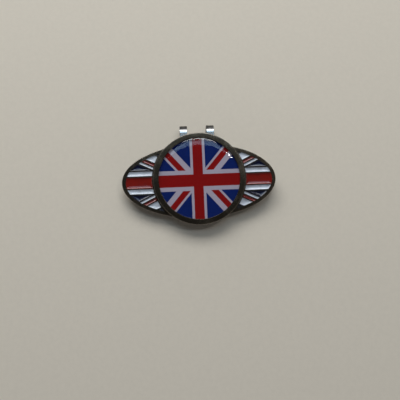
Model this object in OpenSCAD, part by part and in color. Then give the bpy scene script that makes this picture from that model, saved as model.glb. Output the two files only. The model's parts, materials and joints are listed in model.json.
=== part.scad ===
// Golf hat clip with a magnetic ball marker. Millimetres, +Z up.
// The origin lies on the surface that the closed clip rests on, under the middle of the badge.
// +X runs along the badge and +Y towards the bend of the clip.

/* [Badge plate] */
// Length of the elliptical badge
plate_length = 42; // [38:0.5:51]
// Width of the elliptical badge
plate_width = 20.3; // [18:0.1:24.5]
// Thickness of the badge
plate_thickness = 2; // [1.8:0.1:3]
// Width of the raised border round the badge
border_width = 1; // [0.7:0.1:1.4]
// Depth of the enamel cells below the border
cell_depth = 0.5; // [0.3:0.05:0.7]
// Width of the raised lines between enamel cells
cell_wall = 0.25; // [0.15:0.05:0.4]
// How far the enamel stays below the raised lines
enamel_drop = 0.08; // [0.02:0.02:0.2]

/* [Wing pattern] */
// Width of the red bar along the middle
bar_width = 3.35; // [2.5:0.05:4.1]
// Width of each white bar beside the red bar
bar_white_width = 1.5; // [1:0.05:1.9]
// Angle between the diagonals and the badge's length
diagonal_angle = 25; // [20:0.5:30]
// Distance from each red diagonal to the line through the badge's middle at that angle
diagonal_offset = 0.4; // [0:0.05:0.8]
// Width of each red diagonal
diagonal_red_width = 1; // [0.7:0.05:1.3]
// Width of the narrow white on the bar's side of a red diagonal
diagonal_narrow_width = 0.85; // [0.7:0.05:1.2]
// Width of the broad white on the far side of a red diagonal
diagonal_broad_width = 2.15; // [1.6:0.05:2.6]

/* [Ball marker] */
// Diameter of the marker
marker_diameter = 25; // [22:0.5:30]
// Thickness of the marker's metal blank
marker_thickness = 1.8; // [1.5:0.1:2.6]
// How far the marker sits from the badge's middle, towards the bend
marker_offset = 0.5; // [0:0.1:1]
// Width of the marker's metal rim
rim_width = 1.5; // [1:0.1:2.5]
// Size of the chamfer on the rim's outer edges
rim_chamfer = 0.2; // [0.1:0.05:0.4]
// Depth of the tray that holds the print and the clear dome
tray_depth = 0.8; // [0.6:0.05:1.2]
// Thickness of the printed disc
print_thickness = 0.12; // [0.08:0.02:0.3]
// Thickness of the adhesive under the printed disc
print_glue_thickness = 0.05; // [0.03:0.01:0.1]
// How far the clear dome's crown stands above the rim
dome_crown = 0.35; // [0.2:0.05:0.8]
// How far the clear dome's edge lies below the rim
dome_edge_drop = 0.1; // [0.05:0.05:0.3]

/* [Marker seat and magnet] */
// Depth of the round seat for the marker
seat_depth = 0.5; // [0.3:0.05:0.7]
// Radial clearance of the marker in its seat
seat_clearance = 0.08; // [0.03:0.01:0.1]
// Width of the raised line round the seat
seat_wall = 0.3; // [0.2:0.05:0.6]
// Diameter of the magnet under the seat
magnet_diameter = 10; // [8:0.5:13]
// Thickness of the magnet
magnet_thickness = 1; // [0.8:0.1:1.2]
// How far the magnet lies below the seat
magnet_drop = 0.05; // [0.02:0.01:0.1]
// Radial clearance of the magnet in its pocket
magnet_clearance = 0.05; // [0.02:0.01:0.1]
// Thickness of the adhesive under the magnet
magnet_glue_thickness = 0.05; // [0.03:0.01:0.1]

/* [Clip] */
// Width of the clip
clip_width = 9.6; // [8:0.1:13]
// Thickness of the clip's spring strip
clip_thickness = 0.5; // [0.4:0.05:0.7]
// Width of each of the two straps round the bend
strap_width = 2.1; // [1.5:0.1:3]
// Inner radius of the bend
bend_radius = 1.75; // [1.4:0.05:2.5]
// Distance from the badge's edge to the bend's centre
bend_overhang = 3.6; // [2.5:0.1:5]
// Thickness of the solder between the clip and the badge
solder_thickness = 0.1; // [0.05:0.01:0.2]
// How far the solder stays inside the clip's outline
solder_margin = 0.3; // [0.1:0.1:1]
// Distance from the clip's base to the badge's edge at the mouth
base_mouth_margin = 2.5; // [1.5:0.1:4]
// Distance from the clip's base to the badge's edge at the bend
base_bend_margin = 1.5; // [1:0.1:3]
// Length of the straps under the base, from the bend's centre to the tongue
strap_return = 3; // [2:0.1:5]

/* [Tongue] */
// How far the crimp rises above the tongue
crimp_rise = 0.25; // [0.1:0.05:0.6]
// Length of the slope up to the crimp
crimp_slope = 1.8; // [1.2:0.1:3]
// Length of the flat top of the crimp
crimp_flat = 0.5; // [0.3:0.1:1]
// Distance from the middle of the crimp to the edge of the clip's base
crimp_setback = 0.1; // [0:0.05:0.15]
// Clearance between the crimp and the edge of the clip's base
crimp_clearance = 0.06; // [0.04:0.01:0.15]
// Length of the lip beyond the crimp
lip_length = 2.2; // [1.5:0.1:3]
// How far the lip stays above the resting surface
lip_lift = 0.1; // [0.05:0.05:0.2]

/* [Hidden] */
SIDES = ["left", "right"];
ENAMELS = ["red_bar", "white_bars", "navy_fields", "narrow_whites", "red_diagonals", "broad_whites",
           "navy_corners"];

RED = "firebrick";
WHITE = "ghostwhite";
NAVY = "midnightblue";
GUNMETAL = "dimgray";
NICKEL = "silver";
GLUE = "beige";

// Circles stay fine enough for the large, shallow dome.
$fn = 180;
// Reaches past any solid that it cuts.
past = 1;
// Overlap that joins the bend to the flat stretches of its strap.
seam = 0.02;

// Levels above the badge's back face
seat_level = plate_thickness - seat_depth;
cell_floor = plate_thickness - cell_depth;
magnet_top = seat_level - magnet_drop;
magnet_base = magnet_top - magnet_thickness;
rim_top = seat_level + marker_thickness;
tray_floor = rim_top - tray_depth;
print_base = tray_floor + print_glue_thickness;
dome_base = print_base + print_thickness;
dome_edge = rim_top - dome_edge_drop;
dome_top = rim_top + dome_crown;

// Round fits
marker_radius = marker_diameter / 2;
seat_radius = marker_radius + seat_clearance;
tray_radius = marker_radius - rim_width;
insert_radius = tray_radius - 0.02;
dome_radius = (pow(insert_radius, 2) + pow(dome_top - dome_edge, 2)) / (2 * (dome_top - dome_edge));
magnet_radius = magnet_diameter / 2;

// Bands of the wing pattern: distance from the middle line, and from the line through the middle along a
// diagonal, on the side away from the bar
bar_red_edge = bar_width / 2;
bar_white_edge = bar_red_edge + bar_white_width;
diagonal_broad_edge = diagonal_broad_width - diagonal_offset;
diagonal_red_edge = -diagonal_offset - diagonal_red_width;
diagonal_narrow_edge = diagonal_red_edge - diagonal_narrow_width;

// The clip: its neutral line, the bend's centre and the base's ends along the badge's width
leaf_back = -solder_thickness - clip_thickness;
bend_outer = bend_radius + clip_thickness;
bend_reach = plate_width / 2 + bend_overhang;
base_mouth = -plate_width / 2 + base_mouth_margin;
base_bend = plate_width / 2 - base_bend_margin;

// The edge of the base meets the crimp, which settles how far the badge leans back when the clip is closed.
mouth_reach = bend_reach - base_mouth;
rest_tilt = asin((bend_radius - crimp_rise - crimp_clearance) / norm([mouth_reach, bend_radius]))
    + atan(bend_radius / mouth_reach);
bend_drop = bend_radius - leaf_back;
badge_height = bend_outer - bend_reach * sin(rest_tilt) + bend_drop * cos(rest_tilt);
bend_y = bend_reach * cos(rest_tilt) + bend_drop * sin(rest_tilt);
crimp_y = bend_y - mouth_reach * cos(rest_tilt) - bend_radius * sin(rest_tilt) + crimp_setback;
tongue_end = bend_y - strap_return;

// Places its children, which are drawn on the badge's back face, where the closed clip holds them.
module at_rest() {
    translate([0, 0, badge_height]) rotate([rest_tilt, 0, 0]) children();
}

// Places its children on the seat's axis.
module at_seat(level) {
    at_rest() translate([0, marker_offset, level]) children();
}

// Extrudes a side view, drawn with y across and z up, to both sides of x.
module across(width, x = 0) {
    translate([x, 0, 0]) rotate([90, 0, 90]) linear_extrude(width, center = true) children();
}

// The badge's outline, drawn in by inset.
module badge_outline(inset = 0) {
    scale([plate_length / 2 - inset, plate_width / 2 - inset]) circle(1);
}

// The part of the badge that holds enamel.
module enamel_area() {
    difference() {
        badge_outline(border_width);
        translate([0, marker_offset]) circle(seat_radius + seat_wall);
    }
}

// A band along the badge between two distances from its middle line, with half a raised line left free
// at each edge.
module bar_band(near, far) {
    translate([0, near + cell_wall / 2]) square([plate_length, far - near - cell_wall]);
}

// A cell along a diagonal between two distances from it, cut off where it meets the white bar.
module diagonal_cell(near, far) {
    intersection() {
        bar_band(bar_white_edge, plate_width);
        rotate(diagonal_angle)
            translate([0, near + cell_wall / 2]) square([plate_length, far - near - cell_wall]);
    }
}

// The enamel cell of one kind in the quarter between +X and +Y. The red bar's half meets its mirror image.
module quarter_cell(kind) {
    if (kind == "red_bar") square([plate_length, bar_red_edge - cell_wall / 2]);
    if (kind == "white_bars") bar_band(bar_red_edge, bar_white_edge);
    if (kind == "navy_fields") diagonal_cell(-plate_width, diagonal_narrow_edge);
    if (kind == "narrow_whites") diagonal_cell(diagonal_narrow_edge, diagonal_red_edge);
    if (kind == "red_diagonals") diagonal_cell(diagonal_red_edge, -diagonal_offset);
    if (kind == "broad_whites") diagonal_cell(-diagonal_offset, diagonal_broad_edge);
    if (kind == "navy_corners") diagonal_cell(diagonal_broad_edge, plate_width);
}

// The enamel cells of one kind on one wing.
module wing_cells(kind, side) {
    intersection() {
        enamel_area();
        mirror([side == "left" ? 1 : 0, 0]) union() {
            quarter_cell(kind);
            mirror([0, 1]) quarter_cell(kind);
        }
    }
}

// Cast badge: an elliptical plate with enamel cells, a round seat and a magnet pocket.
module badge_plate() {
    color(GUNMETAL) difference() {
        at_rest() linear_extrude(plate_thickness) badge_outline();
        at_rest() translate([0, 0, cell_floor]) linear_extrude(cell_depth + past)
            for (kind = ENAMELS, side = SIDES) wing_cells(kind, side);
        at_seat(seat_level) cylinder(r = seat_radius, h = seat_depth + past);
        at_seat(magnet_base - magnet_glue_thickness)
            cylinder(r = magnet_radius + magnet_clearance, h = plate_thickness);
    }
}

// Enamel of one kind on one wing, one fill to each cell.
module enamel(kind, side) {
    tint = kind == "red_bar" || kind == "red_diagonals" ? RED
        : kind == "navy_fields" || kind == "navy_corners" ? NAVY : WHITE;
    color(tint) at_rest() translate([0, 0, cell_floor])
        linear_extrude(cell_depth - enamel_drop) wing_cells(kind, side);
}

// Round magnet, bedded in adhesive under the seat.
module magnet() {
    color(NICKEL) at_seat(magnet_base) cylinder(r = magnet_radius, h = magnet_thickness);
}

// Film of adhesive on the floor of the magnet's pocket.
module magnet_glue() {
    color(GLUE) at_seat(magnet_base - magnet_glue_thickness)
        cylinder(r = magnet_radius, h = magnet_glue_thickness);
}

// Film of solder that holds the clip to the badge's back.
module clip_solder() {
    color(NICKEL) at_rest()
        translate([-clip_width / 2 + solder_margin, base_mouth + solder_margin, -solder_thickness])
            cube([clip_width - 2 * solder_margin, base_bend - base_mouth - 2 * solder_margin, solder_thickness]);
}

// Upper leaf of the spring clip, under the badge.
module clip_base() {
    color(NICKEL) at_rest()
        translate([-clip_width / 2, base_mouth, leaf_back])
            cube([clip_width, base_bend - base_mouth, clip_thickness]);
}

// Side view of a strap: along the badge's back, round the bend and back to the tongue.
module strap_outline() {
    translate([0, badge_height]) rotate(rest_tilt) translate([base_bend, leaf_back])
        square([bend_reach - base_bend + seam, clip_thickness]);
    translate([bend_y, bend_outer]) difference() {
        circle(bend_outer);
        circle(bend_radius);
        polygon([
            [0, 0],
            2 * bend_outer * [-sin(rest_tilt), cos(rest_tilt)],
            2 * bend_outer * [-2, 1],
            2 * bend_outer * [-2, -1],
            [0, -2 * bend_outer]
        ]);
    }
    translate([tongue_end, 0]) square([strap_return + seam, clip_thickness]);
}

// One of the two straps that join the clip's leaves round the bend.
module clip_strap(side) {
    color(NICKEL) across(strap_width, side * (clip_width - strap_width) / 2) strap_outline();
}

// Lower leaf of the spring clip, crimped where it grips the brim, with a lip at the mouth.
module clip_tongue() {
    crimp_end = crimp_y - crimp_flat / 2;
    underside = [
        [tongue_end, 0],
        [crimp_y + crimp_flat / 2 + crimp_slope, 0],
        [crimp_y + crimp_flat / 2, crimp_rise],
        [crimp_end, crimp_rise],
        [crimp_end - lip_length, lip_lift]
    ];
    top = [for (i = [len(underside) - 1 : -1 : 0]) underside[i] + [0, clip_thickness]];
    color(NICKEL) across(clip_width) polygon(concat(underside, top));
}

// Steel disc of the ball marker, with a raised rim round a shallow tray.
module marker_blank() {
    color(GUNMETAL) at_seat(seat_level) rotate_extrude() polygon([
        [0, 0],
        [marker_radius - rim_chamfer, 0],
        [marker_radius, rim_chamfer],
        [marker_radius, marker_thickness - rim_chamfer],
        [marker_radius - rim_chamfer, marker_thickness],
        [tray_radius, marker_thickness],
        [tray_radius, tray_floor - seat_level],
        [0, tray_floor - seat_level]
    ]);
}

// Film of adhesive under the printed disc.
module marker_print_glue() {
    color(GLUE) at_seat(tray_floor) cylinder(r = insert_radius, h = print_glue_thickness);
}

// Printed disc with the flag.
module marker_print() {
    color(RED) at_seat(print_base) cylinder(r = insert_radius, h = print_thickness);
}

// Clear dome over the printed disc, its crown a shallow part of a sphere.
module marker_dome() {
    color("lightblue", 0.4) at_seat(0) rotate_extrude() intersection() {
        translate([0, dome_base]) square([insert_radius, dome_top]);
        translate([0, dome_top - dome_radius]) circle(dome_radius, $fn = 1440);
    }
}

badge_plate();
for (kind = ENAMELS, side = SIDES)
    enamel(kind, side);
magnet_glue();
magnet();
clip_solder();
clip_base();
clip_strap(-1);  // clip_strap_left
clip_strap(1);  // clip_strap_right
clip_tongue();
marker_blank();
marker_print_glue();
marker_print();
marker_dome();
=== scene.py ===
import contextlib
import json
import math

import bmesh
import bpy
from mathutils import Matrix, Vector
from mathutils.bvhtree import BVHTree

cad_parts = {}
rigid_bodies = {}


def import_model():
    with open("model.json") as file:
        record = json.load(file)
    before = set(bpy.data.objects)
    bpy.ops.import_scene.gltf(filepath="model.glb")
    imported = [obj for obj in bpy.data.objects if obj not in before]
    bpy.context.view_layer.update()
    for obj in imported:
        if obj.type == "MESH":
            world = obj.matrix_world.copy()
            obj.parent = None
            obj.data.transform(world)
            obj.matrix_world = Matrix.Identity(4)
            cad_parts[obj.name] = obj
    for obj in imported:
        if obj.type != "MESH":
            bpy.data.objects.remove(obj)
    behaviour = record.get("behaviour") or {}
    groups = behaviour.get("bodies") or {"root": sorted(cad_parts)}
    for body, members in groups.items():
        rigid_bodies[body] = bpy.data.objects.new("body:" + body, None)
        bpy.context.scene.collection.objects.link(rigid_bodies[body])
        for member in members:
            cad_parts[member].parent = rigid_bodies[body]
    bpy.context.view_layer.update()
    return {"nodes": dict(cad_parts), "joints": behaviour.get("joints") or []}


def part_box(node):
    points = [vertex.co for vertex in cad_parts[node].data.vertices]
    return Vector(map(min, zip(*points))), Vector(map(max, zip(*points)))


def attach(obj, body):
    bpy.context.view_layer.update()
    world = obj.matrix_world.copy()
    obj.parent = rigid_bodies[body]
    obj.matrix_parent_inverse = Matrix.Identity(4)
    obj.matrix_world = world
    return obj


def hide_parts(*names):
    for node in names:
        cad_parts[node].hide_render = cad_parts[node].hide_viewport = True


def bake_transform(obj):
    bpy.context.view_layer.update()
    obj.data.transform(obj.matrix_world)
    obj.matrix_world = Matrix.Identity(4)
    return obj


# The startup scene's own objects go before the frame comes in.
for leftover in list(bpy.data.objects):
    bpy.data.objects.remove(leftover)
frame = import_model()

bl_info = {
    "name": "Golf hat clip with ball marker",
    "version": (1, 0, 0),
    "blender": (4, 5, 0),
    "location": "View3D > Sidebar > Hat clip",
    "description": "Models an enamelled golf hat clip and its magnetic ball marker round a fixed frame",
    "category": "Add Mesh",
}

MM = 0.001
MERGE_WITHIN = 0.0005 * MM
LEVEL = 0.9  # a face whose normal's height passes this counts as level
WINGS = ("left", "right")
ENAMEL_TINTS = {
    "red_bar": "red", "white_bars": "white", "navy_fields": "navy", "narrow_whites": "white",
    "red_diagonals": "red", "broad_whites": "white", "navy_corners": "navy",
}
# Finishes of a dark metal piece, and the number of the one with the painted highlight on its rounded outer
# edges
PLATING = ("gunmetal", "rubbed_gunmetal")
EDGE_HIGHLIGHT = 1
# Finishes of the print, and their numbers
INKS = ("ink_red", "ink_white", "ink_blue")
RED, WHITE, BLUE = range(3)
# Rings of the dome's mesh, as shares of its radius
DOME_RINGS = (0.971, 0.963, 0.953, 0.942, 0.93, 0.915, 0.9, 0.88, 0.86, 0.835, 0.8, 0.76, 0.7,
              0.62, 0.52, 0.4, 0.25, 0.1)
# Azimuth from the bend's side and angle from straight up in degrees, distance, width and length in metres,
# radiance and tint of each lamp
LAMPS = {
    "window_light": (-10, 46, 0.6, 0.60, 0.28, 6.0, (0.95, 0.98, 1.0)),
    "arc_light": (5, 16, 0.6, 0.31, 0.17, 2.4, (0.55, 0.78, 1.0)),
    "glint_light": (63, 26, 0.5, 0.06, 0.03, 30.0, (1.0, 1.0, 1.0)),
}
# World strength at a low and a high direction, given as the height of a unit direction
SKY_LOW, SKY_LOW_STRENGTH = 0.12, 0.55
SKY_HIGH, SKY_HIGH_STRENGTH = 0.60, 0.05
CAMERA_AIM = (-0.07 * MM, -5.29 * MM)  # on the badge's face
CAMERA_AWAY = (-0.046, -0.193, 0.98)
CAMERA_DISTANCE = 117.9 * MM
CAMERA_ROLL = math.radians(-2.9)
LENS, SENSOR = 39.0, 36.0
# Heights of the reliefs that the shaders draw
PLATING_RELIEF = ENAMEL_RELIEF = 0.004 * MM
DOME_RELIEF = 0.003 * MM
FILM_RELIEF = 0.02 * MM


# ---------------------------------------------------------------- places, taken from the frame

def joint(name):
    return next(j for j in frame["joints"] if j["name"] == name)


def turned_corners(node, turn):
    """Lowest and highest corner of a node, measured along turned axes."""
    points = [turn @ v.co for v in frame["nodes"][node].data.vertices]
    return (Vector([min(p[i] for p in points) for i in range(3)]),
            Vector([max(p[i] for p in points) for i in range(3)]))


LIFT = Vector(joint("marker_lift")["axis"]).normalized()
LEAN = math.atan2(-LIFT.y, LIFT.z)
PLATE_FOOT = turned_corners("badge_plate", Matrix.Rotation(-LEAN, 3, "X"))[0].z
# From the badge's own axes, with its back face at 0, to the closed clip.
FACE = Matrix.Translation((0, 0, PLATE_FOOT / math.cos(LEAN))) @ Matrix.Rotation(LEAN, 4, "X")
FACE_BACK = FACE.inverted()


def face_box(node):
    """Lowest and highest corner of a node, along the badge's own axes."""
    return turned_corners(node, FACE_BACK)


PLATE_LOW, PLATE_HIGH = face_box("badge_plate")
BLANK_LOW, BLANK_HIGH = face_box("marker_blank")
PRINT_LOW, PRINT_HIGH = face_box("marker_print")
DOME_LOW, DOME_HIGH = face_box("marker_dome")
BASE_LOW, BASE_HIGH = face_box("clip_base")
TONGUE_LOW, TONGUE_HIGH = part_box("clip_tongue")
STRAP_LOW, STRAP_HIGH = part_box("clip_strap_right")
SEAT_Y = (BLANK_LOW.y + BLANK_HIGH.y) / 2
BLANK_RADIUS = (BLANK_HIGH.x - BLANK_LOW.x) / 2
PRINT_RADIUS = (PRINT_HIGH.x - PRINT_LOW.x) / 2
BEND = Vector(joint("clip_open")["pos_m"])


# ---------------------------------------------------------------- sizes and colours to change

def length(name, text, default, low=0.0, high=0.1):
    return bpy.props.FloatProperty(
        name=name, description=text, default=default, min=low, max=high, precision=6, unit="LENGTH")


def colour(name, text, default):
    return bpy.props.FloatVectorProperty(
        name=name, description=text, default=default, size=3, min=0, max=1, subtype="COLOR")


class HatClipSizes(bpy.types.PropertyGroup):
    border_round: length("Border rounding", "Rounding of the badge's outer upper edge", 0.16 * MM)
    line_round: length("Raised line rounding", "Rounding of the raised lines' upper edges", 0.06 * MM)
    enamel_dip: length("Enamel dip", "How far the middle of a fill lies below the CAD level", 0.28 * MM)
    enamel_climb: length("Enamel climb", "How far enamel climbs at the raised lines", 0.31 * MM)
    enamel_reach: length("Enamel reach", "How far from a raised line the enamel's climb reaches", 0.30 * MM)
    enamel_pitch: length("Enamel mesh pitch", "Spacing of the enamel's mesh", 0.1 * MM)
    rim_width: length("Rim width", "Width of the marker's metal rim", 1.5 * MM)
    tray_depth: length("Tray depth", "Depth of the marker's tray", 0.8 * MM)
    rim_round: length("Rim rounding", "Rounding of the marker's outer edges", 0.2 * MM)
    dome_wall: bpy.props.FloatProperty(
        name="Dome wall", description="Share of the dome's rise that is its upright wall", default=0.25,
        min=0, max=0.4, subtype="FACTOR")
    strip_round: length("Strip rounding", "Rounding of the spring strip's edges", 0.1 * MM)
    base_corner: length("Base corner", "Rounding of the clip base's two free corners", 0.6 * MM)
    tongue_corner: length("Tongue corner", "Rounding of the tongue's two free corners", 0.9 * MM)
    magnet_round: length("Magnet rounding", "Rounding of the magnet's edges", 0.12 * MM)
    flag_across: length("Flag across", "Flag's centre from the marker's, along the badge", -0.30 * MM, -0.01)
    flag_up: length("Flag up", "Flag's centre from the marker's, towards the bend", -0.50 * MM, -0.01)
    upright_red: length("Upright red", "Width of the flag's upright red bar", 2.63 * MM)
    upright_white: length("Upright white", "Width of the white beside the upright bar", 0.68 * MM)
    level_red: length("Level red", "Width of the flag's level red bar", 3.3 * MM)
    level_white: length("Level white", "Width of the white beside the level bar", 1.12 * MM)
    diagonal_red: length("Diagonal red", "Width of the flag's red diagonals", 1.52 * MM)
    diagonal_broad: length("Diagonal broad white", "Width of the broad white of a diagonal", 1.4 * MM)
    diagonal_thin: length("Diagonal thin white", "Width of the thin white of a diagonal", 0.55 * MM)
    diagonal_start: length("Diagonal start", "How far a diagonal reaches beyond its middle line", 0.7 * MM)
    diagonal_angle: bpy.props.FloatProperty(
        name="Diagonal angle", description="Angle between the flag's diagonals and its level bar",
        default=math.radians(49), unit="ROTATION")


class HatClipColours(bpy.types.PropertyGroup):
    gunmetal: colour("Gunmetal", "Dark nickel plating of the badge and the marker", (0.094, 0.073, 0.051))
    # Lighter plating on the rounded outer edges: a painted highlight.
    rubbed: colour("Rubbed gunmetal", "Plating rubbed thin along the outer edges", (0.21, 0.18, 0.145))
    nickel: colour("Nickel", "Bright nickel plating of the spring clip", (0.66, 0.64, 0.61))
    enamel_red: colour("Red enamel", "Red enamel of the wings", (0.21, 0.010, 0.006))
    enamel_white: colour("White enamel", "White enamel of the wings", (0.66, 0.70, 0.77))
    enamel_navy: colour("Navy enamel", "Navy enamel of the wings", (0.004, 0.006, 0.030))
    ink_red: colour("Red ink", "Red of the printed flag", (0.235, 0.003, 0.003))
    ink_white: colour("White ink", "White of the printed flag", (0.40, 0.35, 0.42))
    ink_blue: colour("Blue ink", "Blue of the printed flag", (0.0012, 0.010, 0.088))
    adhesive: colour("Adhesive", "Cured adhesive under the magnet and the print", (0.60, 0.55, 0.42))
    solder: colour("Solder", "Tin solder between the clip and the badge", (0.55, 0.55, 0.55))
    floor: colour("Floor", "Plain pale floor", (0.66, 0.59, 0.49))


# ---------------------------------------------------------------- modelling helpers

def only(obj):
    """Leaves one object selected and active."""
    bpy.ops.object.select_all(action="DESELECT")
    obj.select_set(True)
    bpy.context.view_layer.objects.active = obj
    return obj


@contextlib.contextmanager
def editing(obj, mode="FACE"):
    """Edit mode on one object, with nothing selected at the start."""
    only(obj)
    bpy.ops.object.mode_set(mode="EDIT")
    bpy.ops.mesh.select_mode(type=mode)
    bpy.ops.mesh.select_all(action="DESELECT")
    yield
    bpy.ops.object.mode_set(mode="OBJECT")


def pick(obj, kind, test):
    """Selects the verts, edges or faces of the mesh in edit mode that pass a test."""
    bpy.ops.mesh.select_all(action="DESELECT")
    mesh = bmesh.from_edit_mesh(obj.data)
    found = [element for element in getattr(mesh, kind) if test(element)]
    for element in found:
        element.select_set(True)
    mesh.select_flush_mode()
    bmesh.update_edit_mesh(obj.data)
    if not found:
        raise RuntimeError(f"{obj.name}: no {kind} to work on")


def made(name):
    """Names the primitive that was just added, and moves its place into its mesh."""
    obj = only(bpy.context.view_layer.objects.active)
    obj.name = name
    obj.data.name = name
    bpy.ops.object.transform_apply(location=True, rotation=True, scale=True)
    return obj


def merged_copy(node, name, matrix=None):
    """A copy of a CAD node as one closed mesh, with each flat face in one."""
    obj = bpy.data.objects.new(name, frame["nodes"][node].data.copy())
    obj.data.name = name
    obj.data.materials.clear()
    bpy.context.scene.collection.objects.link(obj)
    if matrix is not None:
        obj.data.transform(matrix)
    with editing(obj, "VERT"):
        bpy.ops.mesh.select_all(action="SELECT")
        bpy.ops.mesh.remove_doubles(threshold=MERGE_WITHIN)
        bpy.ops.mesh.dissolve_limited(angle_limit=math.radians(0.2))
        bpy.ops.mesh.normals_make_consistent(inside=False)
    return obj


def sharp(edge, degrees=35):
    return len(edge.link_faces) == 2 and edge.calc_face_angle() > math.radians(degrees)


def at_height(edge, height, near=0.002 * MM):
    return all(abs(v.co.z - height) < near for v in edge.verts)


def stands(edge, least):
    """Whether an edge goes up by more than a least height."""
    return abs(edge.verts[0].co.z - edge.verts[1].co.z) > least


def bevel(offset, segments=2, finish=-1):
    """Rounds the edges picked; finish is the number of the piece's finish on the rounding."""
    bpy.ops.mesh.bevel(offset=offset, offset_type="OFFSET", segments=segments, profile=0.5,
                       clamp_overlap=True, material=finish, affect="EDGES")


def coated(obj, *names):
    """Gives a piece its finishes, unless it has them already."""
    finishes = [finish_of(name) for name in names]
    if list(obj.data.materials) != finishes:
        obj.data.materials.clear()
        for finish in finishes:
            obj.data.materials.append(finish)
    return obj


def finished(obj, body, nodes, finishes, matrix=None, smooth=40):
    """Places a piece, smooths it, gives it its finishes and ties it to its body."""
    if matrix is not None:
        obj.data.transform(matrix)
    only(coated(obj, *finishes))
    bpy.ops.object.shade_smooth_by_angle(angle=math.radians(smooth))
    # In metres the faces are too small for the modifier to weigh them, so it works in millimetres.
    obj.data.transform(Matrix.Scale(1 / MM, 4))
    even = obj.modifiers.new("even_shading", "WEIGHTED_NORMAL")
    even.keep_sharp = True
    bpy.ops.object.modifier_apply(modifier=even.name)
    obj.data.transform(Matrix.Scale(MM, 4))
    if body:
        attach(obj, body)
    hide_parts(*nodes)
    return obj


def kept_inside(obj, other):
    """Keeps what of one closed mesh lies in another, and removes the other."""
    only(obj)
    cut = obj.modifiers.new("cut", "BOOLEAN")
    cut.operation = "INTERSECT"
    cut.object = other
    cut.solver = "MANIFOLD"
    bpy.ops.object.modifier_apply(modifier=cut.name)
    bpy.data.objects.remove(other)
    if not obj.data.vertices:
        raise RuntimeError(f"{obj.name}: nothing left after the cut")


# ---------------------------------------------------------------- shared shader effects
# The scale of a noise is in waves to the metre: at 4000 its grains are a quarter of a millimetre across.

def shader_group(name, inputs, outputs):
    group = bpy.data.node_groups.new(name, "ShaderNodeTree")
    for label, kind, default in inputs:
        socket = group.interface.new_socket(name=label, in_out="INPUT", socket_type=kind)
        socket.default_value = default
    for label, kind in outputs:
        group.interface.new_socket(name=label, in_out="OUTPUT", socket_type=kind)
    enter = group.nodes.new("NodeGroupInput")
    leave = group.nodes.new("NodeGroupOutput")
    return group, enter, leave


def badge_coordinates(tree):
    """Object coordinates turned to lie along the badge's face, centred on the seat."""
    place = tree.nodes.new("ShaderNodeTexCoord")
    turn = tree.nodes.new("ShaderNodeMapping")
    turn.vector_type = "TEXTURE"
    turn.inputs["Location"].default_value = FACE @ Vector((0, SEAT_Y, 0))
    turn.inputs["Rotation"].default_value = (LEAN, 0, 0)
    tree.links.new(place.outputs["Object"], turn.inputs["Vector"])
    return turn.outputs["Vector"]


def put(tree, value, socket):
    """Sets a socket to a number or colour, or links another socket to it."""
    if isinstance(value, (int, float, tuple)):
        socket.default_value = value
    else:
        tree.links.new(value, socket)


def noise(tree, vector, scale, detail=2.0, rough=0.5):
    node = tree.nodes.new("ShaderNodeTexNoise")
    for label, value in (("Vector", vector), ("Scale", scale), ("Detail", detail), ("Roughness", rough)):
        put(tree, value, node.inputs[label])
    return node.outputs["Fac"]


def remap(tree, value, low, high, to_low=0.0, to_high=1.0):
    node = tree.nodes.new("ShaderNodeMapRange")
    for label, number in (("Value", value), ("From Min", low), ("From Max", high),
                          ("To Min", to_low), ("To Max", to_high)):
        put(tree, number, node.inputs[label])
    return node.outputs["Result"]


def calculated(tree, operation, *numbers):
    node = tree.nodes.new("ShaderNodeMath")
    node.operation = operation
    for place, number in enumerate(numbers):
        put(tree, number, node.inputs[place])
    return node.outputs["Value"]


def blended(tree, factor, first, second):
    node = tree.nodes.new("ShaderNodeMix")
    node.data_type = "RGBA"
    node.clamp_factor = True
    for place, value in ((0, factor), (6, first), (7, second)):
        put(tree, value, node.inputs[place])
    return node.outputs[2]


def plating_wear_group():
    """Plated metal: cloudy tone, rubbed patches and a roughness that follows them."""
    group, enter, leave = shader_group(
        "Plating wear",
        [("Plating", "NodeSocketColor", (0.1, 0.1, 0.1, 1)),
         ("Rubbed", "NodeSocketColor", (0.2, 0.2, 0.2, 1)),
         ("Cloud Scale", "NodeSocketFloat", 300.0), ("Fine Scale", "NodeSocketFloat", 4000.0),
         ("Roughness Low", "NodeSocketFloat", 0.25), ("Roughness High", "NodeSocketFloat", 0.4)],
        [("Color", "NodeSocketColor"), ("Roughness", "NodeSocketFloat")])
    vector = badge_coordinates(group)
    cloud = noise(group, vector, enter.outputs["Cloud Scale"], 4.0)
    fine = noise(group, vector, enter.outputs["Fine Scale"], 3.0, 0.6)
    patches = remap(group, cloud, 0.52, 0.72)
    grain = calculated(group, "MULTIPLY", patches, remap(group, fine, 0.35, 0.65, 0.3, 0.9))
    tone = blended(group, grain, enter.outputs["Plating"], enter.outputs["Rubbed"])
    group.links.new(tone, leave.inputs["Color"])
    mixed = calculated(group, "MULTIPLY_ADD", cloud, 0.6, remap(group, fine, 0.0, 1.0, 0.0, 0.4))
    dull = remap(group, mixed, 0.25, 0.8, enter.outputs["Roughness Low"], enter.outputs["Roughness High"])
    group.links.new(dull, leave.inputs["Roughness"])
    return group


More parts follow.
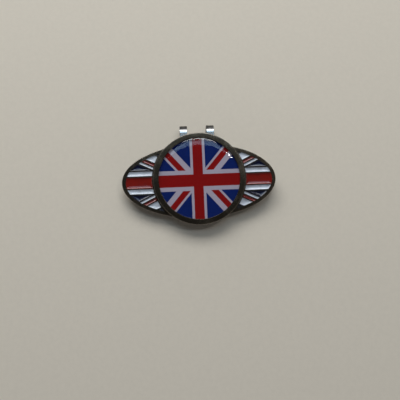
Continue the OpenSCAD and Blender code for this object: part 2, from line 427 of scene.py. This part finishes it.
def scratch_group():
    """Fine scratches in two directions, as a height."""
    group, enter, leave = shader_group(
        "Fine scratches",
        [("Scale", "NodeSocketFloat", 250.0), ("Share", "NodeSocketFloat", 0.5)],
        [("Height", "NodeSocketFloat"), ("Mask", "NodeSocketFloat")])
    vector = badge_coordinates(group)
    lines = []
    narrowing = 28
    for angle in (0.5, -0.9):
        stretch = group.nodes.new("ShaderNodeMapping")
        stretch.inputs["Rotation"].default_value = (0, 0, angle)
        stretch.inputs["Scale"].default_value = (1, narrowing, 1)
        group.links.new(vector, stretch.inputs["Vector"])
        streak = noise(group, stretch.outputs["Vector"], enter.outputs["Scale"], 1.0)
        lines.append(remap(group, streak, 0.66, 0.70))
    both = calculated(group, "MAXIMUM", lines[0], lines[1])
    where = remap(group, noise(group, vector, 130.0, 2.0), 0.45, 0.6)
    kept = calculated(group, "MULTIPLY", both, where)
    mask = calculated(group, "MULTIPLY", kept, enter.outputs["Share"])
    group.links.new(mask, leave.inputs["Mask"])
    group.links.new(calculated(group, "SUBTRACT", 1.0, mask), leave.inputs["Height"])
    return group


def brushed_group():
    """Short brushed grain along the badge, as a height."""
    group, enter, leave = shader_group(
        "Brushed grain", [("Scale", "NodeSocketFloat", 900.0)], [("Height", "NodeSocketFloat")])
    stretch = group.nodes.new("ShaderNodeMapping")
    stretch.inputs["Scale"].default_value = (1, 18, 4)
    group.links.new(badge_coordinates(group), stretch.inputs["Vector"])
    group.links.new(noise(group, stretch.outputs["Vector"], enter.outputs["Scale"], 3.0, 0.65),
                    leave.inputs["Height"])
    return group


def enamel_group():
    """Soft enamel: faint cloudiness of the colour, settled waves and a few pinholes."""
    group, enter, leave = shader_group(
        "Settled enamel",
        [("Color", "NodeSocketColor", (0.5, 0.5, 0.5, 1)), ("Deep", "NodeSocketColor", (0.4, 0.4, 0.4, 1))],
        [("Color", "NodeSocketColor"), ("Roughness", "NodeSocketFloat"), ("Height", "NodeSocketFloat")])
    vector = badge_coordinates(group)
    cloud = noise(group, vector, 700.0, 3.0)
    tone = blended(group, remap(group, cloud, 0.35, 0.7), enter.outputs["Color"], enter.outputs["Deep"])
    group.links.new(tone, leave.inputs["Color"])
    group.links.new(remap(group, cloud, 0.3, 0.7, 0.10, 0.2), leave.inputs["Roughness"])
    pits = group.nodes.new("ShaderNodeTexVoronoi")
    pits.inputs["Scale"].default_value = 900.0
    group.links.new(vector, pits.inputs["Vector"])
    pinhole = remap(group, pits.outputs["Distance"], 0.03, 0.07)
    waves = calculated(group, "MULTIPLY", noise(group, vector, 450.0, 1.0), 0.7)
    group.links.new(calculated(group, "MULTIPLY_ADD", pinhole, 0.3, waves), leave.inputs["Height"])
    return group


def ink_group():
    """Printed ink: fine speckle of the print screen over slow changes of density."""
    group, enter, leave = shader_group(
        "Printed ink",
        [("Color", "NodeSocketColor", (0.5, 0.5, 0.5, 1)), ("Thin", "NodeSocketColor", (0.6, 0.6, 0.6, 1))],
        [("Color", "NodeSocketColor"), ("Roughness", "NodeSocketFloat")])
    vector = badge_coordinates(group)
    dots = group.nodes.new("ShaderNodeTexVoronoi")
    dots.inputs["Scale"].default_value = 6000.0
    dots.inputs["Randomness"].default_value = 0.35
    group.links.new(vector, dots.inputs["Vector"])
    speckle = remap(group, dots.outputs["Distance"], 0.25, 0.6, 0.0, 0.35)
    density = remap(group, noise(group, vector, 260.0, 3.0), 0.3, 0.75, 0.0, 0.55)
    tone = blended(group, calculated(group, "ADD", speckle, density), enter.outputs["Color"],
                   enter.outputs["Thin"])
    group.links.new(tone, leave.inputs["Color"])
    group.links.new(remap(group, density, 0.0, 0.55, 0.45, 0.6), leave.inputs["Roughness"])
    return group


def film_group():
    """Rough film, such as glue or solder: lumps and a mottled tone."""
    group, enter, leave = shader_group(
        "Rough film",
        [("Color", "NodeSocketColor", (0.5, 0.5, 0.5, 1)), ("Dark", "NodeSocketColor", (0.3, 0.3, 0.3, 1)),
         ("Scale", "NodeSocketFloat", 1200.0)],
        [("Color", "NodeSocketColor"), ("Height", "NodeSocketFloat")])
    lumps = noise(group, badge_coordinates(group), enter.outputs["Scale"], 4.0, 0.6)
    tone = blended(group, remap(group, lumps, 0.35, 0.65), enter.outputs["Dark"], enter.outputs["Color"])
    group.links.new(tone, leave.inputs["Color"])
    group.links.new(lumps, leave.inputs["Height"])
    return group


GROUP_BUILDERS = {"plating": plating_wear_group, "scratches": scratch_group, "brushed": brushed_group,
                  "enamel": enamel_group, "ink": ink_group, "film": film_group}
GROUPS = {}


def effect(tree, name, **values):
    """Places a shared effect in a material with its values, building it the first time."""
    if name not in GROUPS:
        GROUPS[name] = GROUP_BUILDERS[name]()
    node = tree.nodes.new("ShaderNodeGroup")
    node.node_tree = GROUPS[name]
    for label, value in values.items():
        node.inputs[label.replace("_", " ")].default_value = value
    return node


# ---------------------------------------------------------------- materials

def rgba(tone, factor=1.0):
    """A colour for a socket, made paler or darker by a factor."""
    return tuple(min(1.0, c * factor) for c in tone) + (1.0,)


def new_material(name):
    finish = bpy.data.materials.new(name)
    finish.use_nodes = True
    return finish, finish.node_tree, finish.node_tree.nodes["Principled BSDF"]


def bumped(tree, shader, heights, distance):
    """Feeds one or more heights, each with its strength, to the shader's normal."""
    normal = None
    for height, strength in heights:
        bump = tree.nodes.new("ShaderNodeBump")
        bump.inputs["Strength"].default_value = strength
        bump.inputs["Distance"].default_value = distance
        tree.links.new(height, bump.inputs["Height"])
        if normal is not None:
            tree.links.new(normal, bump.inputs["Normal"])
        normal = bump.outputs["Normal"]
    tree.links.new(normal, shader.inputs["Normal"])


def plated_metal(name, tone, rubbing, roughness, grain, scratch, painted_dark_band=None):
    """Plated metal with patches rubbed to a factor of its tone.

    The last argument gives where a band of painted dark reflection, which is also made duller, starts and
    where it is full, from the bend's centre along Y.
    """
    finish, tree, shader = new_material(name)
    shader.inputs["Metallic"].default_value = 1.0
    wear = effect(tree, "plating", Plating=rgba(tone), Rubbed=rgba(tone, rubbing),
                  Roughness_Low=roughness[0], Roughness_High=roughness[1])
    shade, dull = wear.outputs["Color"], wear.outputs["Roughness"]
    # Painted dark reflection: along Y past the bend's centre the nickel is painted nearly black, standing in
    # for dark surroundings mirrored in the bend, and made rougher.
    if painted_dark_band:
        painted_darkening, dulling = 0.03, 0.42
        place = tree.nodes.new("ShaderNodeTexCoord")
        along = tree.nodes.new("ShaderNodeSeparateXYZ")
        tree.links.new(place.outputs["Object"], along.inputs["Vector"])
        reach = remap(tree, along.outputs["Y"], BEND.y + painted_dark_band[0], BEND.y + painted_dark_band[1])
        cloud = remap(tree, noise(tree, place.outputs["Object"], 1500.0, 3.0), 0.3, 0.7, 0.8, 1.0)
        dark_band_mask = calculated(tree, "MULTIPLY", reach, cloud)
        shade = blended(tree, dark_band_mask, shade, rgba(tone, rubbing * painted_darkening))
        dull = calculated(tree, "MAXIMUM", dull, calculated(tree, "MULTIPLY", dark_band_mask, dulling))
    tree.links.new(shade, shader.inputs["Base Color"])
    tree.links.new(dull, shader.inputs["Roughness"])
    heights = [(effect(tree, "brushed").outputs["Height"], grain),
               (effect(tree, "scratches").outputs["Height"], scratch)]
    bumped(tree, shader, heights, PLATING_RELIEF)
    return finish


def enamel_finish(name, tone):
    finish, tree, shader = new_material(name)
    coat = effect(tree, "enamel", Color=rgba(tone), Deep=rgba(tone, 0.78))
    tree.links.new(coat.outputs["Color"], shader.inputs["Base Color"])
    tree.links.new(coat.outputs["Roughness"], shader.inputs["Roughness"])
    shader.inputs["IOR"].default_value = 1.52
    bumped(tree, shader, [(coat.outputs["Height"], 0.5)], ENAMEL_RELIEF)
    return finish


def ink_finish(name, tone, thinning):
    finish, tree, shader = new_material(name)
    ink = effect(tree, "ink", Color=rgba(tone), Thin=rgba(tone, thinning))
    tree.links.new(ink.outputs["Color"], shader.inputs["Base Color"])
    tree.links.new(ink.outputs["Roughness"], shader.inputs["Roughness"])
    # The epoxy wets the ink, so that the ink itself hardly shines.
    shader.inputs["Specular IOR Level"].default_value = 0.04
    return finish


def film_finish(name, tone, metallic, roughness):
    finish, tree, shader = new_material(name)
    film = effect(tree, "film", Color=rgba(tone), Dark=rgba(tone, 0.7))
    tree.links.new(film.outputs["Color"], shader.inputs["Base Color"])
    shader.inputs["Metallic"].default_value = metallic
    shader.inputs["Roughness"].default_value = roughness
    bumped(tree, shader, [(film.outputs["Height"], 0.6)], FILM_RELIEF)
    return finish


def floor_finish(tone):
    finish, tree, shader = new_material("pale_floor")
    film = effect(tree, "film", Color=rgba(tone), Dark=rgba(tone, 0.97), Scale=900.0)
    tree.links.new(film.outputs["Color"], shader.inputs["Base Color"])
    shader.inputs["Roughness"].default_value = 0.85
    return finish


def clear_epoxy_finish():
    """Clear, glossy epoxy that lets light through to the print under it."""
    finish, tree, shader = new_material("clear_epoxy_dome")
    shader.inputs["Base Color"].default_value = (1, 1, 1, 1)
    shader.inputs["Metallic"].default_value = 0.0
    shader.inputs["Transmission Weight"].default_value = 1.0
    shader.inputs["IOR"].default_value = 1.5
    marks = effect(tree, "scratches", Scale=160.0)
    bumped(tree, shader, [(marks.outputs["Height"], 0.25)], DOME_RELIEF)
    tree.links.new(remap(tree, marks.outputs["Mask"], 0.0, 0.5, 0.015, 0.12), shader.inputs["Roughness"])
    rays = tree.nodes.new("ShaderNodeLightPath")
    clear = tree.nodes.new("ShaderNodeBsdfTransparent")
    either = calculated(tree, "MAXIMUM", rays.outputs["Is Shadow Ray"], rays.outputs["Is Diffuse Ray"])
    mix = tree.nodes.new("ShaderNodeMixShader")
    tree.links.new(either, mix.inputs["Fac"])
    tree.links.new(shader.outputs["BSDF"], mix.inputs[1])
    tree.links.new(clear.outputs["BSDF"], mix.inputs[2])
    tree.links.new(mix.outputs["Shader"], tree.nodes["Material Output"].inputs["Surface"])
    return finish


FINISHES = {}


def finish_of(name):
    """A finish, built the first time that a piece asks for it."""
    tone = bpy.context.scene.hat_clip_colours
    builders = {
        "gunmetal": lambda: plated_metal("gunmetal_plating", tone.gunmetal, 1.9, (0.20, 0.34), 0.35, 0.4),
        # Lighter, smoother gunmetal for the painted highlight on the rounded outer edges.
        "rubbed_gunmetal": lambda: plated_metal("rubbed_gunmetal", tone.rubbed, 1.4, (0.16, 0.26), 0.2, 0.3),
        "nickel": lambda: plated_metal("bright_nickel", tone.nickel, 0.85, (0.10, 0.2), 0.2, 0.5),
        # The bend's nickel carries the band of painted dark reflection.
        "bend_nickel": lambda: plated_metal("bend_nickel", tone.nickel, 0.85, (0.14, 0.26), 0.3, 0.6,
                                            (0.15 * MM, 0.55 * MM)),
        "enamel_red": lambda: enamel_finish("red_enamel", tone.enamel_red),
        "enamel_white": lambda: enamel_finish("white_enamel", tone.enamel_white),
        "enamel_navy": lambda: enamel_finish("navy_enamel", tone.enamel_navy),
        "ink_red": lambda: ink_finish("red_ink", tone.ink_red, 0.85),
        "ink_white": lambda: ink_finish("white_ink", tone.ink_white, 0.88),
        "ink_blue": lambda: ink_finish("blue_ink", tone.ink_blue, 1.3),
        "adhesive": lambda: film_finish("cured_adhesive", tone.adhesive, 0.0, 0.45),
        "solder": lambda: film_finish("tin_solder", tone.solder, 1.0, 0.42),
        "clear_epoxy": clear_epoxy_finish,
        "floor": lambda: floor_finish(tone.floor),
    }
    if name not in FINISHES:
        FINISHES[name] = builders[name]()
    return FINISHES[name]


# ---------------------------------------------------------------- operators, one for each piece or group

class HATCLIP_OT_badge_plate(bpy.types.Operator):
    """Models the cast badge with its rounded border, raised lines, seat and magnet pocket"""
    bl_idname = "hatclip.badge_plate"
    bl_label = "Badge plate"

    def execute(self, context):
        sizes = context.scene.hat_clip_sizes
        plate = coated(merged_copy("badge_plate", "badge_cast_plate", FACE_BACK), *PLATING)

        def on_outline(edge):
            return all(abs((v.co.x / PLATE_HIGH.x) ** 2 + (v.co.y / PLATE_HIGH.y) ** 2 - 1) < 0.004
                       for v in edge.verts)

        with editing(plate, "EDGE"):
            pick(plate, "edges", lambda e: sharp(e) and at_height(e, PLATE_HIGH.z) and on_outline(e))
            # The outer upper rounding gets the lighter gunmetal of the painted highlight.
            bevel(sizes.border_round, 4, EDGE_HIGHLIGHT)
            pick(plate, "edges", lambda e: sharp(e) and at_height(e, PLATE_LOW.z) and on_outline(e))
            bevel(sizes.border_round * 0.6, 3)
            pick(plate, "edges", lambda e: sharp(e, 60) and at_height(e, PLATE_HIGH.z))
            bevel(sizes.line_round, 2)
        finished(plate, "badge", ["badge_plate"], PLATING, FACE)
        return {"FINISHED"}


class HATCLIP_OT_enamels(bpy.types.Operator):
    """Models the enamel fills, each with a surface that climbs at the raised lines round it"""
    bl_idname = "hatclip.enamels"
    bl_label = "Enamel fills"

    def fill(self, sizes, kind, side):
        """Cuts a slab with a finely divided top to one kind of cell, and raises its top at the walls."""
        node = f"enamel_{kind}_{side}"
        finish = f"enamel_{ENAMEL_TINTS[kind]}"
        low, high = face_box(node)
        span = high - low
        cell = merged_copy(node, "cell", FACE_BACK)
        headroom = 1 * MM
        for vertex in cell.data.vertices:
            if vertex.co.z > (low.z + high.z) / 2:
                vertex.co.z += headroom
        walls = [f.vertices[:] for f in cell.data.polygons if abs(f.normal.z) < 0.5]
        nearest = BVHTree.FromPolygons([v.co for v in cell.data.vertices], walls).find_nearest

        level = high.z - sizes.enamel_dip
        margin = 0.3 * MM
        bpy.ops.mesh.primitive_cube_add(
            size=1, location=((low.x + high.x) / 2, (low.y + high.y) / 2, (level + low.z - margin) / 2),
            scale=(span.x + margin, span.y + margin, level - low.z + margin))
        slab = made(f"enamel_fill_{kind}_{side}")
        with editing(slab):
            pick(slab, "faces", lambda f: f.normal.z > LEVEL)
            bpy.ops.mesh.subdivide(number_cuts=math.ceil(max(span.x, span.y) / sizes.enamel_pitch))
        kept_inside(slab, cell)
        for vertex in slab.data.vertices:
            if vertex.co.z > level - 0.001 * MM:
                gap = nearest(vertex.co)[3]
                vertex.co.z += sizes.enamel_climb * math.exp(-gap / sizes.enamel_reach)
        finished(slab, "badge", [node], [finish], FACE, smooth=50)

    def execute(self, context):
        for kind in ENAMEL_TINTS:
            for side in WINGS:
                self.fill(context.scene.hat_clip_sizes, kind, side)
        return {"FINISHED"}


class HATCLIP_OT_marker_blank(bpy.types.Operator):
    """Models the marker's metal blank: a coin with a raised rim round a tray"""
    bl_idname = "hatclip.marker_blank"
    bl_label = "Marker blank"

    def execute(self, context):
        sizes = context.scene.hat_clip_sizes
        depth = BLANK_HIGH.z - BLANK_LOW.z
        bpy.ops.mesh.primitive_cylinder_add(
            vertices=192, radius=BLANK_RADIUS, depth=depth, end_fill_type="NGON",
            location=(0, SEAT_Y, BLANK_LOW.z + depth / 2))
        coin = coated(made("marker_coin"), *PLATING)

        def outside(edge):
            return (edge.verts[0].co.xy - Vector((0, SEAT_Y))).length > BLANK_RADIUS - sizes.rim_width / 2

        with editing(coin):
            pick(coin, "faces", lambda f: f.normal.z > LEVEL)
            bpy.ops.mesh.inset(thickness=sizes.rim_width)
            bpy.ops.mesh.extrude_region_move(TRANSFORM_OT_translate={"value": (0, 0, -sizes.tray_depth)})
        with editing(coin, "EDGE"):
            pick(coin, "edges", lambda e: sharp(e) and outside(e)
                 and (at_height(e, BLANK_HIGH.z) or at_height(e, BLANK_LOW.z)))
            # The coin's outer roundings get the lighter gunmetal of the painted highlight.
            bevel(sizes.rim_round, 4, EDGE_HIGHLIGHT)
            pick(coin, "edges", lambda e: sharp(e, 60) and not outside(e) and at_height(e, BLANK_HIGH.z))
            bevel(sizes.rim_round * 0.4, 2)
        finished(coin, "marker", ["marker_blank"], PLATING, FACE)
        return {"FINISHED"}


class HATCLIP_OT_flag_print(bpy.types.Operator):
    """Models the printed disc and parts its face along the flag's colours"""
    bl_idname = "hatclip.flag_print"
    bl_label = "Flag print"

    def execute(self, context):
        sizes = context.scene.hat_clip_sizes
        depth = PRINT_HIGH.z - PRINT_LOW.z
        bpy.ops.mesh.primitive_cylinder_add(
            vertices=128, radius=PRINT_RADIUS, depth=depth, end_fill_type="NGON",
            location=(0, SEAT_Y, PRINT_LOW.z + depth / 2))
        disc = made("marker_flag_print")
        centre = Vector((sizes.flag_across, SEAT_Y + sizes.flag_up, 0))
        upright = (sizes.upright_red / 2, sizes.upright_red / 2 + sizes.upright_white)
        level = (sizes.level_red / 2, sizes.level_red / 2 + sizes.level_white)
        along = Vector((-math.sin(sizes.diagonal_angle), math.cos(sizes.diagonal_angle)))
        start, red = sizes.diagonal_start, sizes.diagonal_red
        thin, broad = sizes.diagonal_thin, sizes.diagonal_broad
        # Edges of a diagonal's white, red and white, from the upright bar's side to the level bar's
        falling = (start, start - broad, start - broad - red, start - broad - red - thin)
        rising = (start, start - thin, start - thin - red, start - thin - red - broad)

        def colour_at(x, y):
            if abs(x) < upright[0] or abs(y) < level[0]:
                return RED
            if abs(x) < upright[1] or abs(y) < level[1]:
                return WHITE
            across = along.x * abs(x) + along.y * abs(y)
            edges = falling if (x < 0) == (y > 0) else rising
            if across > edges[0] or across < edges[3]:
                return BLUE
            return RED if edges[2] < across < edges[1] else WHITE

        lines = [(Vector((1, 0, 0)), s * d) for d in upright for s in (-1, 1)]
        lines += [(Vector((0, 1, 0)), s * d) for d in level for s in (-1, 1)]
        lines += [(Vector((-along.x, along.y, 0)), s * d) for d in falling for s in (-1, 1)]
        lines += [(Vector((along.x, along.y, 0)), s * d) for d in rising for s in (-1, 1)]
        with editing(disc):
            for normal, distance in lines:
                bpy.ops.mesh.select_all(action="SELECT")
                bpy.ops.mesh.bisect(plane_co=centre + normal * distance, plane_no=normal,
                                    threshold=0.0001 * MM)
        finished(disc, "marker", ["marker_print"], INKS)
        for face in disc.data.polygons:
            place = face.center - centre
            face.material_index = WHITE if face.normal.z < -LEVEL else colour_at(place.x, place.y)
        disc.data.transform(FACE)
        return {"FINISHED"}


class HATCLIP_OT_clear_dome(bpy.types.Operator):
    """Models the clear dome: level in the middle and rounded down to its edge"""
    bl_idname = "hatclip.clear_dome"
    bl_label = "Clear dome"

    def execute(self, context):
        # The dome dips a hair into the print, so that no air lies between them.
        foot = DOME_LOW.z - 0.01 * MM
        edge = BLANK_HIGH.z - 0.1 * MM
        crown = DOME_HIGH.z - edge
        wall = crown * context.scene.hat_clip_sizes.dome_wall
        radius = (DOME_HIGH.x - DOME_LOW.x) / 2
        corners, fullness = 256, 8
        bpy.ops.mesh.primitive_cylinder_add(
            vertices=corners, radius=radius, depth=edge + wall - foot, end_fill_type="NGON",
            location=(0, SEAT_Y, (edge + wall + foot) / 2))
        dome = made("marker_clear_dome")
        with editing(dome):
            pick(dome, "faces", lambda f: f.normal.z > LEVEL)
            before, lower = 1.0, wall
            for share in DOME_RINGS:
                height = crown * math.sqrt(1 - share ** fullness)
                bpy.ops.mesh.inset(thickness=(before - share) * radius * math.cos(math.pi / corners),
                                   depth=height - lower, use_even_offset=True)
                before, lower = share, height
        finished(dome, "marker", ["marker_dome"], ["clear_epoxy"], FACE, smooth=45)
        return {"FINISHED"}


class HATCLIP_OT_clip_straps(bpy.types.Operator):
    """Models a strap of the spring clip round its bend, and copies it for the other side"""
    bl_idname = "hatclip.clip_straps"
    bl_label = "Clip straps"

    def execute(self, context):
        sizes = context.scene.hat_clip_sizes
        thickness = BASE_HIGH.z - BASE_LOW.z
        width = STRAP_HIGH.x - STRAP_LOW.x
        middle = (STRAP_LOW.x + STRAP_HIGH.x) / 2
        leaf = (BASE_LOW.z + BASE_HIGH.z) / 2
        bend = FACE_BACK @ BEND
        start = (middle, BASE_HIGH.y, leaf)
        bpy.ops.mesh.primitive_plane_add(size=1, location=start, rotation=(math.pi / 2, 0, 0))
        strap = made("clip_strap_bend_right")
        with editing(strap, "VERT"):
            bpy.ops.mesh.select_all(action="SELECT")
            bpy.ops.transform.resize(value=(width, 1, thickness), center_override=start)
            bpy.ops.mesh.bevel(offset=sizes.strip_round, segments=3, affect="VERTICES")
            bpy.ops.mesh.delete(type="ONLY_FACE")
            bpy.ops.mesh.select_all(action="SELECT")
            bpy.ops.mesh.select_mode(type="EDGE")
            bpy.ops.mesh.extrude_region_move(
                TRANSFORM_OT_translate={"value": (0, bend.y - BASE_HIGH.y, 0)})
            bpy.ops.mesh.spin(steps=64, angle=math.pi + LEAN, center=bend, axis=(1, 0, 0))
            back = FACE_BACK.to_3x3() @ Vector((0, TONGUE_HIGH.y - BEND.y, 0))
            bpy.ops.mesh.extrude_region_move(TRANSFORM_OT_translate={"value": back})
            bpy.ops.mesh.select_mode(type="VERT")
            bpy.ops.mesh.select_all(action="SELECT")
            bpy.ops.mesh.remove_doubles(threshold=MERGE_WITHIN)
            bpy.ops.mesh.select_all(action="DESELECT")
            bpy.ops.mesh.select_non_manifold(extend=False)
            bpy.ops.mesh.edge_face_add()
            bpy.ops.mesh.select_all(action="SELECT")
            bpy.ops.mesh.normals_make_consistent(inside=False)
        strap.data.transform(FACE)
        other = bpy.data.objects.new("clip_strap_bend_left", strap.data.copy())
        context.scene.collection.objects.link(other)
        other.data.transform(Matrix.Translation((-2 * middle, 0, 0)))
        # The strap is tied to no body.
        for piece, side in ((strap, "right"), (other, "left")):
            finished(piece, None, [f"clip_strap_{side}"], ["bend_nickel"], smooth=30)
            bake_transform(piece)
        return {"FINISHED"}


class HATCLIP_OT_clip_leaves(bpy.types.Operator):
    """Models the clip's two leaves: the base under the badge and the crimped tongue"""
    bl_idname = "hatclip.clip_leaves"
    bl_label = "Clip leaves"

    def execute(self, context):
        sizes = context.scene.hat_clip_sizes
        span = BASE_HIGH - BASE_LOW
        bpy.ops.mesh.primitive_cube_add(size=1, location=(BASE_LOW + BASE_HIGH) / 2, scale=span)
        base = made("clip_base_leaf")
        near_end = 0.1 * MM
        with editing(base, "EDGE"):
            pick(base, "edges", lambda e: stands(e, span.z / 2) and e.verts[0].co.y < 0)
            bevel(sizes.base_corner, 5)
            pick(base, "edges", lambda e: sharp(e, 60) and e.verts[0].co.y < BASE_HIGH.y - near_end)
            bevel(sizes.strip_round, 3)
        finished(base, "badge", ["clip_base"], ["nickel"], FACE, smooth=30)
        tongue = merged_copy("clip_tongue", "clip_tongue_leaf")
        with editing(tongue, "EDGE"):
            pick(tongue, "edges", lambda e: stands(e, 0.3 * MM)
                 and max(v.co.y for v in e.verts) < TONGUE_LOW.y + 2 * near_end)
            bevel(sizes.tongue_corner, 6)
            pick(tongue, "edges", lambda e: sharp(e, 60)
                 and min(v.co.y for v in e.verts) < TONGUE_HIGH.y - near_end)
            bevel(sizes.strip_round, 3)
        finished(tongue, "clip_tongue", ["clip_tongue"], ["nickel"], smooth=30)
        return {"FINISHED"}


class HATCLIP_OT_magnet(bpy.types.Operator):
    """Models the round magnet that holds the marker"""
    bl_idname = "hatclip.magnet"
    bl_label = "Magnet"

    def execute(self, context):
        low, high = face_box("magnet")
        bpy.ops.mesh.primitive_cylinder_add(
            vertices=96, radius=(high.x - low.x) / 2, depth=high.z - low.z, end_fill_type="NGON",
            location=(low + high) / 2)
        magnet = made("magnet_disc")
        with editing(magnet, "EDGE"):
            pick(magnet, "edges", lambda e: sharp(e, 60))
            bevel(context.scene.hat_clip_sizes.magnet_round, 3)
        finished(magnet, "badge", ["magnet"], ["nickel"], FACE)
        return {"FINISHED"}


class HATCLIP_OT_films(bpy.types.Operator):
    """Gives the films of adhesive and solder their finish"""
    bl_idname = "hatclip.films"
    bl_label = "Adhesive and solder"

    def execute(self, context):
        films = {"magnet_glue": "adhesive", "marker_print_glue": "adhesive", "clip_solder": "solder"}
        for node, finish in films.items():
            for place in frame["nodes"][node].material_slots:
                place.material = finish_of(finish)
        return {"FINISHED"}


def facing(away):
    """The turn of a lamp or camera that looks back along a direction, with the bend at its top."""
    top = (Vector((0, 1, 0)) - away * away.y).normalized()
    return Matrix((top.cross(away), top, away)).transposed()


class HATCLIP_OT_studio(bpy.types.Operator):
    """Sets up the floor, the soft lights, the world and the camera"""
    bl_idname = "hatclip.studio"
    bl_label = "Studio"

    def floor(self):
        bpy.ops.mesh.primitive_plane_add(size=3, location=(0, 0, 0))
        floor = coated(made("floor"), "floor")
        with editing(floor):
            bpy.ops.mesh.select_all(action="SELECT")
            bpy.ops.mesh.subdivide(number_cuts=4)

    def lamp(self, scene, name, azimuth, zenith, distance, width, height, radiance, tone):
        """A soft rectangular lamp that faces the badge."""
        light = bpy.data.lights.new(name, "AREA")
        light.shape = "RECTANGLE"
        light.size, light.size_y = width, height
        light.energy = radiance * math.pi * width * height
        light.color = tone
        obj = bpy.data.objects.new(name, light)
        scene.collection.objects.link(obj)
        azimuth, zenith = math.radians(azimuth), math.radians(zenith)
        towards = Vector((math.sin(zenith) * math.sin(azimuth), math.sin(zenith) * math.cos(azimuth),
                          math.cos(zenith)))
        obj.location = towards * distance
        obj.rotation_euler = facing(towards).to_euler()

    def world(self, scene):
        """A sky that is pale round the horizon and dim overhead, where the lamps are."""
        world = scene.world = bpy.data.worlds.new("studio_world")
        world.use_nodes = True
        tree = world.node_tree
        background = tree.nodes["Background"]
        background.inputs["Color"].default_value = (0.97, 0.98, 1.0, 1)
        sky = tree.nodes.new("ShaderNodeTexCoord")
        up = tree.nodes.new("ShaderNodeSeparateXYZ")
        tree.links.new(sky.outputs["Generated"], up.inputs["Vector"])
        strength = remap(tree, up.outputs["Z"], SKY_LOW, SKY_HIGH, SKY_LOW_STRENGTH, SKY_HIGH_STRENGTH)
        tree.links.new(strength, background.inputs["Strength"])

    def camera(self, scene):
        lens = bpy.data.cameras.new("camera")
        lens.lens, lens.sensor_width = LENS, SENSOR
        lens.clip_start = 5 * MM
        camera = scene.camera = bpy.data.objects.new("camera", lens)
        scene.collection.objects.link(camera)
        away = Vector(CAMERA_AWAY).normalized()
        camera.location = FACE @ Vector((*CAMERA_AIM, PLATE_HIGH.z)) + away * CAMERA_DISTANCE
        camera.rotation_euler = (facing(away) @ Matrix.Rotation(CAMERA_ROLL, 3, "Z")).to_euler()

    def execute(self, context):
        scene = context.scene
        self.floor()
        for name, settings in LAMPS.items():
            self.lamp(scene, name, *settings)
        self.world(scene)
        self.camera(scene)
        scene.view_settings.view_transform = "Standard"
        return {"FINISHED"}


class HATCLIP_PT_pieces(bpy.types.Panel):
    """Lists the pieces, sizes and colours"""
    bl_label = "Golf hat clip"
    bl_idname = "HATCLIP_PT_pieces"
    bl_space_type = "VIEW_3D"
    bl_region_type = "UI"
    bl_category = "Hat clip"

    def draw(self, context):
        for step in STEPS:
            self.layout.operator(step.bl_idname)
        for group in (context.scene.hat_clip_sizes, context.scene.hat_clip_colours):
            column = self.layout.column()
            for name in group.bl_rna.properties.keys():
                if name not in {"rna_type", "name"}:
                    column.prop(group, name)


STEPS = (HATCLIP_OT_badge_plate, HATCLIP_OT_enamels, HATCLIP_OT_marker_blank, HATCLIP_OT_flag_print,
         HATCLIP_OT_clear_dome, HATCLIP_OT_clip_straps, HATCLIP_OT_clip_leaves, HATCLIP_OT_magnet,
         HATCLIP_OT_films, HATCLIP_OT_studio)
CLASSES = (HatClipSizes, HatClipColours) + STEPS + (HATCLIP_PT_pieces,)


def register():
    for item in CLASSES:
        bpy.utils.register_class(item)
    bpy.types.Scene.hat_clip_sizes = bpy.props.PointerProperty(type=HatClipSizes)
    bpy.types.Scene.hat_clip_colours = bpy.props.PointerProperty(type=HatClipColours)


def unregister():
    del bpy.types.Scene.hat_clip_colours
    del bpy.types.Scene.hat_clip_sizes
    for item in reversed(CLASSES):
        bpy.utils.unregister_class(item)


def main():
    register()
    for step in STEPS:
        group, name = step.bl_idname.split(".")
        getattr(getattr(bpy.ops, group), name)()


if __name__ == "__main__":
    main()
